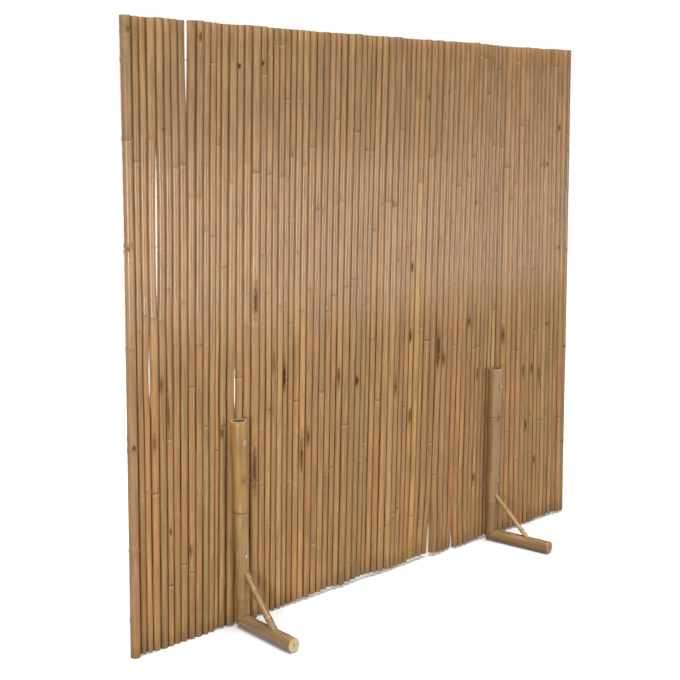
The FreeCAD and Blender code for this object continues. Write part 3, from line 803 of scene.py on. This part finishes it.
def build_brace(side, half, post, foot, pivot, rng, materials):
    """The slanting strut, its ends hollowed to the round post and the round foot."""
    node = f"{half}_{side}_brace"
    points = solids_of(node)[0] - pivot
    out, up = foot["axis"], post["axis"]
    across = np.cross(UPRIGHT, out)
    down, slant = (out - UPRIGHT) / ROOT_TWO, (out + UPRIGHT) / ROOT_TWO
    level = points @ out + points @ UPRIGHT
    radius = (level.max() - level.min()) / 2 / ROOT_TWO
    middle = (level.max() + level.min()) / 2
    widening = (post["head_radius"] - post["foot_radius"]) / post["length"]
    post_radius = post["foot_radius"] + widening * middle + BRACE_FIT
    foot_radius = foot["foot_radius"] + BRACE_FIT
    lean = up * (middle - post_radius) / up[2]
    start_run = lean @ out + post_radius
    start = pivot + out * start_run + UPRIGHT * (middle - start_run)
    end = pivot + out * (middle - foot_radius) + UPRIGHT * foot_radius
    length = np.linalg.norm(end - start)
    angles = np.arange(BRACE_SIDES) * math.tau / BRACE_SIDES
    sideways = radius * np.cos(angles)
    slanting = radius * np.sin(angles) * (np.cross(down, across) @ slant)
    post_edge = lean @ out + np.sqrt(post_radius ** 2 - (sideways - lean @ across) ** 2)
    foot_edge = np.sqrt(foot_radius ** 2 - sideways ** 2)
    near = (post_edge - start_run) * ROOT_TWO - slanting
    far = (foot_radius - foot_edge) * ROOT_TWO + slanting
    line = {
        "start": start, "axis": down, "length": length, "foot_radius": radius,
        "head_radius": radius, "rings": [length * share for share in BRACE_RINGS],
    }
    culm = pole(line, across, rng, STAND_TINTS[f"{side}_brace"], BRACE_UNEVENNESS,
                relief=BRACE_RELIEF, scars=BRACE_SCARS, cope=(near, far))
    make_piece(node, BRACE_SIDES, [culm], materials)


# Pins, washers and nuts

SHARP_ANGLE = math.radians(35)
PIN_ANGLES = np.arange(PIN_SIDES) * math.tau / PIN_SIDES
DOME_RISE = 0.85
BOLT_PITCH = 1.0 * MM
BOLT_THREAD = 30 * MM
SCREW_PITCH = 1.8 * MM
# Bevels against half the thickness, and the nut's faces against its greatest width
WASHER_BEVEL = 0.36
NUT_BEVEL = 0.28
NUT_FACE = 0.90


def measure_pin(points):
    """A pin's line from the top of its head, and its radii."""
    middle = points.mean(axis=0)
    axis = np.linalg.svd(points - middle, full_matrices=False)[2][0]
    distance = (points - middle) @ axis
    off = points - middle - distance[:, None] * axis
    centre = middle + (off.min(axis=0) + off.max(axis=0)) / 2
    off = np.linalg.norm(points - centre - distance[:, None] * axis, axis=1)
    in_head = off > off.max() * 0.9
    if distance[in_head].mean() > 0:
        axis, distance = -axis, -distance
    low, high = distance.min(), distance.max()
    return SimpleNamespace(
        place=centre + axis * low, axis=axis, length=high - low, radius=off.max(),
        head=distance[in_head].max() - low, shank=off[distance > (low + high) / 2].max())


def measure_disc(points):
    """The middle, half thickness and radii of a washer or nut, whose axis is the depth's."""
    low, high = points.min(axis=0), points.max(axis=0)
    centre = (low + high) / 2
    off = np.linalg.norm((points - centre)[:, [0, 2]], axis=1)
    return SimpleNamespace(place=centre, axis=np.array((0.0, 1.0, 0.0)), half=(high - low)[1] / 2,
                           outer=off.max(), inner=off.min())


def hexagon(circumradius):
    """Distance from the middle to a hexagon's edge, in the direction of each side."""
    flat = circumradius * math.cos(math.pi / 6)
    return flat / np.cos((PIN_ANGLES + math.pi / 6) % (math.pi / 3) - math.pi / 6)


def dome_rows(pin):
    """A head's rounded top, from the edge of its recess out to its rim."""
    angles = [math.pi / 2 * share for share in (0.6, 0.8, 1.0)]
    return [(pin.head * (1 - math.cos(angle)) * DOME_RISE, pin.radius * math.sin(angle))
            for angle in angles]


def thread_rows(radius, start, end, pitch):
    """The ridges of a screw thread, drawn as close rings."""
    rows = []
    count = int((end - start) / pitch)
    for number in range(count):
        base = start + number * pitch
        rows.extend([(base, radius), (base + pitch / 2, radius - pitch * 0.45)])
    rows.append((start + count * pitch, radius - pitch * 0.2))
    return rows


def bolt_rows(pin):
    """A domed head with a hexagonal socket, and a thread where the bolt leaves its nut."""
    socket = hexagon(pin.radius * 0.42)
    return [
        (pin.head * 0.55, socket * 0.02), (pin.head * 0.62, socket * 0.98), (0.03 * MM, socket),
        *dome_rows(pin), (pin.head, pin.radius), (pin.head, pin.shank),
        *thread_rows(pin.shank, pin.length - BOLT_THREAD, pin.length - 1 * MM, BOLT_PITCH),
        (pin.length, pin.shank * 0.75),
    ]


def nail_rows(pin, recess=0.25, threaded=False):
    """A low dome with a round recess, a straight shank and a point."""
    tip = pin.length - pin.shank * 2
    thread = thread_rows(pin.shank, pin.length * 0.4, tip, SCREW_PITCH)
    return [
        (pin.head * 0.5, pin.radius * recess * 0.3), (0.02 * MM, pin.radius * recess),
        *dome_rows(pin), (pin.head, pin.radius * 0.98), (pin.head, pin.shank),
        *(thread if threaded else [(tip, pin.shank)]), (pin.length, 0.2 * MM),
    ]


def screw_rows(pin):
    return nail_rows(pin, recess=0.5, threaded=True)


def bevelled_rows(disc, bevel, face, rim_radius):
    """A pierced disc's section, from its hole round to its hole."""
    return [
        (-disc.half, disc.inner), (-disc.half, face), (bevel - disc.half, rim_radius),
        (disc.half - bevel, rim_radius), (disc.half, face), (disc.half, disc.inner),
    ]


def washer_rows(disc):
    bevel = disc.half * WASHER_BEVEL
    return bevelled_rows(disc, bevel, disc.outer - bevel, disc.outer)


def nut_rows(disc):
    flats = hexagon(disc.outer)
    return bevelled_rows(disc, disc.half * NUT_BEVEL, np.minimum(flats, disc.outer * NUT_FACE), flats)


def revolve(made, rows, centre, axis, pierced):
    """Turns rows round an axis: each is a height and a radius, or a radius for each side."""
    across = np.cross(axis, (0, 0, 1) if abs(axis[2]) < 0.9 else (1, 0, 0))
    across /= np.linalg.norm(across)
    circle = (np.outer(np.cos(PIN_ANGLES), across)
              + np.outer(np.sin(PIN_ANGLES), np.cross(axis, across)))
    rings = []
    for height, radius in rows:
        points = centre + axis * height + circle * (radius * np.ones(PIN_SIDES))[:, None]
        rings.append([made.verts.new(point) for point in points])
    if pierced:
        rings.append(rings[0])
    else:
        made.faces.new(rings[0][::-1])
        made.faces.new(rings[-1])
    for low, high in zip(rings, rings[1:]):
        for number in range(PIN_SIDES):
            after = (number + 1) % PIN_SIDES
            made.faces.new((low[number], low[after], high[after], high[number]))


def mesh_of(name, made, material):
    mesh = bpy.data.meshes.new(name)
    made.to_mesh(mesh)
    made.free()
    mesh.materials.append(material)
    return mesh


def build_fasteners(node, ending, material, rows, measure=measure_pin):
    """Turns a piece for each solid of a CAD node and joins them."""
    made = bmesh.new()
    for points in solids_of(node):
        solid = measure(points)
        revolve(made, rows(solid), solid.place, solid.axis, pierced=measure == measure_disc)
    bmesh.ops.recalc_face_normals(made, faces=made.faces)
    for face in made.faces:
        face.smooth = True
    for edge in made.edges:
        edge.smooth = edge.calc_face_angle(0) <= SHARP_ANGLE
    name = f"{node}_{ending}"
    dress(node, name, mesh_of(name, made, material))


# Materials

# The panel is more golden low down and browner high up, where that fades to the right
MIDDLE_TINT = (0.412, 0.228, 0.102)
LOW_ZONE = 0.90
TOP_ZONE = 1.45
ZONE_BLEND = 0.12

# The skin's noises: how fine round the culm and along it, detail and roughness
SKIN_NOISES = {
    "fibres": (1500, 26, 4, 0.5), "streaks": (420, 4.5, 4, 0.6), "patches": (60, 9, 3, 0.5),
    "drift": (70, 3.5, 4, 0.6), "hue": (50, 2.2, 3, 0.6), "freckles": (700, 220, 2, 0.5),
    "ragged": (190, 45, 4, 0.5),
}
# Wear: a noise, the values between which it grows, its greatest share, and its colour
WEAR = [
    ("hue", 0.54, 0.68, 0.50, (0.37, 0.250, 0.110)),
    ("hue", 0.46, 0.32, 0.35, (0.45, 0.232, 0.112)),
    ("drift", 0.54, 0.68, 0.60, (0.22, 0.130, 0.056)),
    ("drift", 0.46, 0.32, 0.45, (0.58, 0.375, 0.165)),
    ("streaks", 0.54, 0.68, 0.70, (0.20, 0.110, 0.040)),
    ("streaks", 0.46, 0.30, 0.60, (0.66, 0.450, 0.220)),
]
FRECKLE = (0.16, 0.085, 0.035)
RING_SHADOW = (0.20, 0.105, 0.040)
RING_BAND = (0.54, 0.360, 0.190)
RING_SCAR = (0.145, 0.068, 0.024)
BUD_EYE = (0.12, 0.055, 0.020)
SPOT_HALO = (0.22, 0.090, 0.024)
SPOT_CORE = (0.055, 0.015, 0.002)
STAIN = (0.21, 0.110, 0.085)
# Painted shade, with some dirt, for the flanks where a cane turns towards its neighbour
GROOVE_SHADE_AND_DIRT = (0.115, 0.040, 0.001)


class Shade:
    """A material or world being put together: each call adds a node and gives its output."""

    def __init__(self, owner, shader="Principled BSDF"):
        self.owner = owner
        self.owner.use_nodes = True
        self.tree = self.owner.node_tree
        self.shader = self.tree.nodes[shader]

    def feed(self, socket, value):
        if isinstance(value, bpy.types.NodeSocket):
            self.tree.links.new(value, socket)
        else:
            socket.default_value = value

    def add(self, kind, inputs, output=0, **settings):
        made = self.tree.nodes.new(kind)
        for key, value in settings.items():
            setattr(made, key, value)
        for key, value in inputs.items():
            self.feed(made.inputs[key], value)
        return made.outputs[output]

    def set(self, **inputs):
        """Sets the shader's own inputs."""
        for key, value in inputs.items():
            name = key.replace("_", " ").title().replace("Ior", "IOR")
            self.feed(self.shader.inputs[name], value)

    def read(self, name, output="Vector"):
        """What the mesh carries at each point."""
        return self.add("ShaderNodeAttribute", {}, output, attribute_name=name)

    def parts(self, vector):
        return self.add("ShaderNodeSeparateXYZ", {0: vector}).node.outputs[:]

    def math(self, operation, first, second=0.0, clamp=False):
        return self.add("ShaderNodeMath", {0: first, 1: second}, operation=operation, use_clamp=clamp)

    def plus(self, first, second, clamp=False):
        return self.math("ADD", first, second, clamp)

    def times(self, first, second, clamp=False):
        return self.math("MULTIPLY", first, second, clamp)

    def span(self, value, low, high, to_low=0.0, to_high=1.0):
        inputs = {"Value": value, "From Min": low, "From Max": high, "To Min": to_low, "To Max": to_high}
        return self.add("ShaderNodeMapRange", inputs, interpolation_type="SMOOTHSTEP")

    def vary(self, noise, low, high):
        """A noise stretched to a range."""
        return self.span(noise, 0.3, 0.7, low, high)

    def mix(self, share, first, second, how="MIX"):
        """Mixes two colours. Each is an output or three numbers."""
        first, second = (part if isinstance(part, bpy.types.NodeSocket) else (*part, 1)
                         for part in (first, second))
        inputs = {0: share, 6: first, 7: second}
        return self.add("ShaderNodeMix", inputs, 2, data_type="RGBA", blend_type=how)

    def noise(self, vector, across, along, detail=3, roughness=0.5):
        spread = self.add("ShaderNodeVectorMath", {0: vector, 1: (across, across, along)},
                          operation="MULTIPLY")
        inputs = {"Vector": spread, "Scale": 1.0, "Detail": detail, "Roughness": roughness}
        return self.add("ShaderNodeTexNoise", inputs)

    def bump(self, height, distance, strength):
        inputs = {"Height": height, "Distance": distance, "Strength": strength}
        self.set(normal=self.add("ShaderNodeBump", inputs))


def mark_nodes(shade, colour, bud, worn, noises):
    """A node's marks: shadow above its ring, a pale band below it, the scar and the bud's eye."""
    patches = noises["patches"]
    above, below, scars = shade.parts(shade.read("ring"))
    scars = shade.times(scars, shade.plus(shade.times(worn, 0.5), 0.5))
    wander = shade.vary(patches, -2.2 * MM, 2.2 * MM)
    above, below = shade.math("SUBTRACT", above, wander), shade.plus(below, wander)
    broken = shade.span(noises["streaks"], 0.35, 0.60, 0.25, 1.0)
    shadow = shade.times(shade.span(above, 2 * MM, 26 * MM, 0.70, 0.0), scars)
    colour = shade.mix(shade.times(shadow, broken), colour, RING_SHADOW)
    band = shade.times(shade.span(below, 1.5 * MM, 9 * MM, 0.65, 0.0), scars)
    colour = shade.mix(band, colour, RING_BAND)
    nearest = shade.math("ABSOLUTE", shade.math("SUBTRACT", above, 2 * MM))
    scar = shade.times(shade.span(nearest, 0.8 * MM, 4.4 * MM, 1.0, 0.0), scars)
    colour = shade.mix(shade.times(scar, broken), colour, RING_SCAR)
    eye = shade.times(shade.span(bud, 0.35, 0.85), shade.span(patches, 0.35, 0.60, 0.2, 0.8))
    return shade.mix(eye, colour, BUD_EYE), eye


def mark_spots(shade, colour, charred, ragged):
    """Dark spots, and stains where the depth is negative: up to three on a culm."""
    fields = [shade.parts(shade.read(f"spot_{key}")) for key in ("side", "place", "reach", "depth")]
    for side, place, reach, depth in zip(*fields):
        away = shade.math("DIVIDE", shade.math("ABSOLUTE", place), reach)
        away = shade.plus(away, shade.vary(ragged, -0.45, 0.45))
        close = shade.span(away, 1.0, 0.2)
        dark = shade.times(shade.times(side, shade.math("MAXIMUM", depth, 0.0)), 1.35)
        halo = shade.times(dark, shade.span(away, 1.7, 0.5), clamp=True)
        core = shade.times(dark, close, clamp=True)
        stained = shade.math("MAXIMUM", shade.times(depth, -1.0), 0.0)
        stain = shade.times(shade.times(side, stained), close, clamp=True)
        for share, tone in [(halo, SPOT_HALO), (core, SPOT_CORE), (stain, STAIN)]:
            colour = shade.mix(share, colour, tone)
        charred = shade.math("MAXIMUM", charred, halo)
    return colour, charred


def culm_skin(name, rough, dulling, fibre_share, gloss, low_tone, top_tone, blotch, even):
    """Bamboo skin: fibres, streaks, node scars, buds and stains over each culm's own tint, with painted
    shade in the grooves between canes.
    """
    shade = Shade(bpy.data.materials.new(name))
    grain = shade.read("grain")
    flank, height, bud = shade.parts(shade.read("place"))
    noises = {key: shade.noise(grain, *values) for key, values in SKIN_NOISES.items()}
    patches = noises["patches"]
    low_zone = shade.span(height, LOW_ZONE + ZONE_BLEND, LOW_ZONE - ZONE_BLEND)
    top_zone = shade.span(height, TOP_ZONE - ZONE_BLEND, TOP_ZONE + ZONE_BLEND)
    sideways = shade.parts(shade.add("ShaderNodeTexCoord", {}, "Object"))[0]
    top_zone = shade.times(top_zone, shade.span(sideways, 0.0, 0.7, 1.0, 0.1))
    worn = shade.plus(shade.times(low_zone, 0.65), 0.35)
    worn = shade.plus(worn, shade.times(top_zone, 0.48))

    def wear(key, low, high, share):
        return shade.times(shade.span(noises[key], low, high, 0, share * blotch), worn)

    evenness = shade.times(shade.math("SUBTRACT", 1.0, worn), even * blotch, clamp=True)
    colour = shade.mix(evenness, shade.read("tint", "Color"), MIDDLE_TINT)
    fibres = shade.vary(noises["fibres"], 1 - fibre_share, 1 + fibre_share)
    colour = shade.mix(1.0, colour, fibres, "MULTIPLY")
    for *spread, tone in WEAR:
        colour = shade.mix(wear(*spread), colour, tone)
    colour = shade.mix(1.0, colour, shade.vary(patches, 0.84, 1.10), "MULTIPLY")
    for zone, tone in [(low_zone, low_tone), (top_zone, top_tone)]:
        colour = shade.mix(zone, colour, shade.mix(1.0, colour, tone, "MULTIPLY"))
    colour = shade.mix(wear("freckles", 0.66, 0.76, 0.45), colour, FRECKLE)
    colour, eye = mark_nodes(shade, colour, bud, worn, noises)
    colour, charred = mark_spots(shade, colour, eye, noises["ragged"])

    # Painted shade between canes: flanks turned towards a close neighbour darken and grow duller, with
    # some dirt. This is strongest low down and weakest in the middle.
    edge = shade.plus(flank, shade.vary(patches, -0.05, 0.05))
    groove_shade_and_dirt = shade.span(edge, 0.55, 0.80, 0.0, 0.97)
    groove_shade_depth = shade.math("SUBTRACT", shade.times(worn, 1.25), 0.25)
    colour = shade.mix(shade.times(groove_shade_and_dirt, groove_shade_depth, clamp=True), colour, GROOVE_SHADE_AND_DIRT)
    dullness = shade.plus(shade.vary(patches, rough - 0.05, rough + 0.07), shade.times(worn, dulling))
    dullness = shade.plus(dullness, shade.times(groove_shade_and_dirt, 0.3))
    dullness = shade.plus(dullness, shade.times(charred, 0.5), clamp=True)
    shade.set(base_color=colour, roughness=dullness, specular_ior_level=gloss)
    shade.bump(shade.plus(noises["fibres"], shade.times(patches, 1.5)), 0.16 * MM, 0.7)
    return shade.owner


def sawn_bamboo(name, tone):
    """End grain: pale, dotted with fibre bundles, stained in places."""
    shade = Shade(bpy.data.materials.new(name))
    grain = shade.read("grain")
    dots = shade.add("ShaderNodeTexVoronoi", {"Vector": grain, "Scale": 1300.0})
    stain = shade.noise(grain, 160, 160)
    colour = shade.mix(shade.span(dots, 0.15, 0.45), (0.42, 0.27, 0.13), (0.68, 0.54, 0.33))
    colour = shade.mix(shade.span(stain, 0.45, 0.75, 0, 0.5), colour, (0.50, 0.36, 0.19))
    shade.set(base_color=shade.mix(1.0, colour, tone, "MULTIPLY"), roughness=0.75)
    shade.bump(dots, 0.15 * MM, 0.6)
    return shade.owner


def bamboo_hollow():
    """The inside of a culm: papery and brown."""
    shade = Shade(bpy.data.materials.new("bamboo hollow"))
    lines = shade.noise(shade.read("grain"), 700, 12)
    colour = shade.mix(shade.vary(lines, 0, 1), (0.20, 0.125, 0.065), (0.36, 0.24, 0.13))
    shade.set(base_color=colour, roughness=0.85)
    shade.bump(lines, 0.2 * MM, 0.6)
    return shade.owner


def steel(name, colour, rough, across, along):
    """Plated steel with a faint mottle and darker scuffs."""
    shade = Shade(bpy.data.materials.new(name))
    mottle = shade.noise(shade.add("ShaderNodeTexCoord", {}, "Object"), across, along)
    dark = tuple(part * 0.55 for part in colour)
    paint = shade.mix(shade.span(mottle, 0.35, 0.75), colour, dark)
    shade.set(base_color=paint, metallic=1.0, roughness=shade.vary(mottle, rough, rough + 0.18))
    shade.bump(mottle, 0.05 * MM, 0.5)
    return shade.owner


# Light, floor and camera

# The camera, fitted to the photograph
PHOTO_SIZE = 680
FOCAL_PIXELS = 1166.6
SENSOR = 36.0
CAMERA_PLACE = (-2.6915, -2.779, 1.486)
CAMERA_YAW = math.radians(41.96)
CAMERA_PITCH = math.radians(5.67)
CAMERA_SHIFT = -0.13
# Panels of light: degrees from straight in front, height above the floor, width, tallness, power
SOFTBOXES = {
    "left softbox": (-53, 1.0, 0.6, 1.2, 72), "right softbox": (16, 1.0, 0.6, 1.2, 54),
    "back left softbox": (-155, 1.2, 1.0, 1.4, 52), "back right softbox": (128, 1.2, 1.0, 1.4, 62),
}
SOFTBOX_DISTANCE = 4.0
CEILING_POWER = 3.3
CEILING_SPREAD = math.radians(50)
# The white background's strength as the camera sees it, and as a light
WORLD_SEEN = 1.0
WORLD_FELT = 0.15
FLOOR_RADIUS = 30
FLOOR_COLOUR = (0.95, 0.95, 0.95, 1)


def aim(name, data, location, direction):
    """Puts a camera or lamp in the scene, turned to a direction."""
    made = add_object(name, data)
    made.location = location
    made.rotation_mode = "QUATERNION"
    made.rotation_quaternion = Vector(direction).to_track_quat("-Z", "Y")
    return made


def add_camera():
    data = bpy.data.cameras.new("camera")
    data.sensor_width = SENSOR
    data.lens = FOCAL_PIXELS / PHOTO_SIZE * SENSOR
    data.shift_y = CAMERA_SHIFT
    level = math.cos(CAMERA_PITCH)
    bpy.context.scene.camera = aim("camera", data, CAMERA_PLACE, (
        math.sin(CAMERA_YAW) * level, math.cos(CAMERA_YAW) * level, -math.sin(CAMERA_PITCH)))


def add_lights():
    """Softboxes that look at the screen, and wide, soft light from above and a little in front."""
    for name, (azimuth, height, width, tall, power) in SOFTBOXES.items():
        turn = math.radians(azimuth)
        data = bpy.data.lights.new(name, "AREA")
        data.shape = "RECTANGLE"
        data.size, data.size_y, data.energy = width, tall, power
        stand_off = Vector((math.sin(turn), -math.cos(turn), 0)) * SOFTBOX_DISTANCE
        aim(name, data, stand_off + Vector((0, 0, height)), -stand_off)
    data = bpy.data.lights.new("ceiling", "SUN")
    data.energy, data.angle = CEILING_POWER, CEILING_SPREAD
    aim("ceiling", data, (0, 0, 0), (0.1, 0.16, -1))


def add_world():
    """White where the camera sees past the floor, dimmer as a light."""
    world = Shade(bpy.data.worlds.new("studio"), "Background")
    is_seen = world.add("ShaderNodeLightPath", {}, "Is Camera Ray")
    strengths = {"Value": is_seen, "To Min": WORLD_FELT, "To Max": WORLD_SEEN}
    world.set(color=(1, 1, 1, 1), strength=world.add("ShaderNodeMapRange", strengths))
    bpy.context.scene.world = world.owner


def add_floor():
    made = bmesh.new()
    bmesh.ops.create_circle(made, cap_ends=True, segments=96, radius=FLOOR_RADIUS)
    shade = Shade(bpy.data.materials.new("pale floor"))
    shade.set(base_color=FLOOR_COLOUR, roughness=0.9, specular_ior_level=0.0)
    floor = add_object("floor", mesh_of("floor", made, shade.owner))
    floor.visible_diffuse = False


# The scene

cane_skin = culm_skin(
    "cane skin", rough=0.11, dulling=0.41, fibre_share=0.15, gloss=0.4,
    low_tone=(0.945, 0.90, 0.775), top_tone=(0.92, 0.92, 0.90), blotch=1.0, even=0.85)
pole_skin = culm_skin(
    "pole skin", rough=0.30, dulling=0.08, fibre_share=0.06, gloss=0.5,
    low_tone=(1.0, 0.97, 0.86), top_tone=(0.97, 0.96, 0.94), blotch=0.8, even=0)
hollow = bamboo_hollow()
# The right stand's sawn ends are tinted darker than the left's
pole_ends = {
    "left": sawn_bamboo("sawn bamboo end", (1, 1, 1)),
    "right": sawn_bamboo("darker bamboo end", (0.62, 0.50, 0.40)),
}
bright_steel = steel("plated steel", (0.46, 0.38, 0.29), 0.40, 400, 400)
dull_wire = steel("dull wire", (0.36, 0.33, 0.29), 0.42, 600, 90)

build_canes([cane_skin, sawn_bamboo("cane end", (0.80, 0.74, 0.66)), hollow])
for side in ("left", "right"):
    for half in ("front", "back"):
        build_stand(side, half, [pole_skin, pole_ends[side], hollow])
build_fasteners("clamp_bolts", "domed", bright_steel, bolt_rows)
build_fasteners("clamp_washers", "bevelled", bright_steel, washer_rows, measure_disc)
build_fasteners("clamp_nuts", "chamfered", bright_steel, nut_rows, measure_disc)
build_fasteners("mitre_screws", "threaded", bright_steel, screw_rows)
build_fasteners("brace_nails", "headed", bright_steel, nail_rows)
for node in sorted(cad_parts):
    if node.endswith("_threading_wire"):
        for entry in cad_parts[node].material_slots:
            entry.material = dull_wire

add_camera()
add_lights()
add_world()
add_floor()
bpy.context.scene.view_settings.view_transform = "Standard"
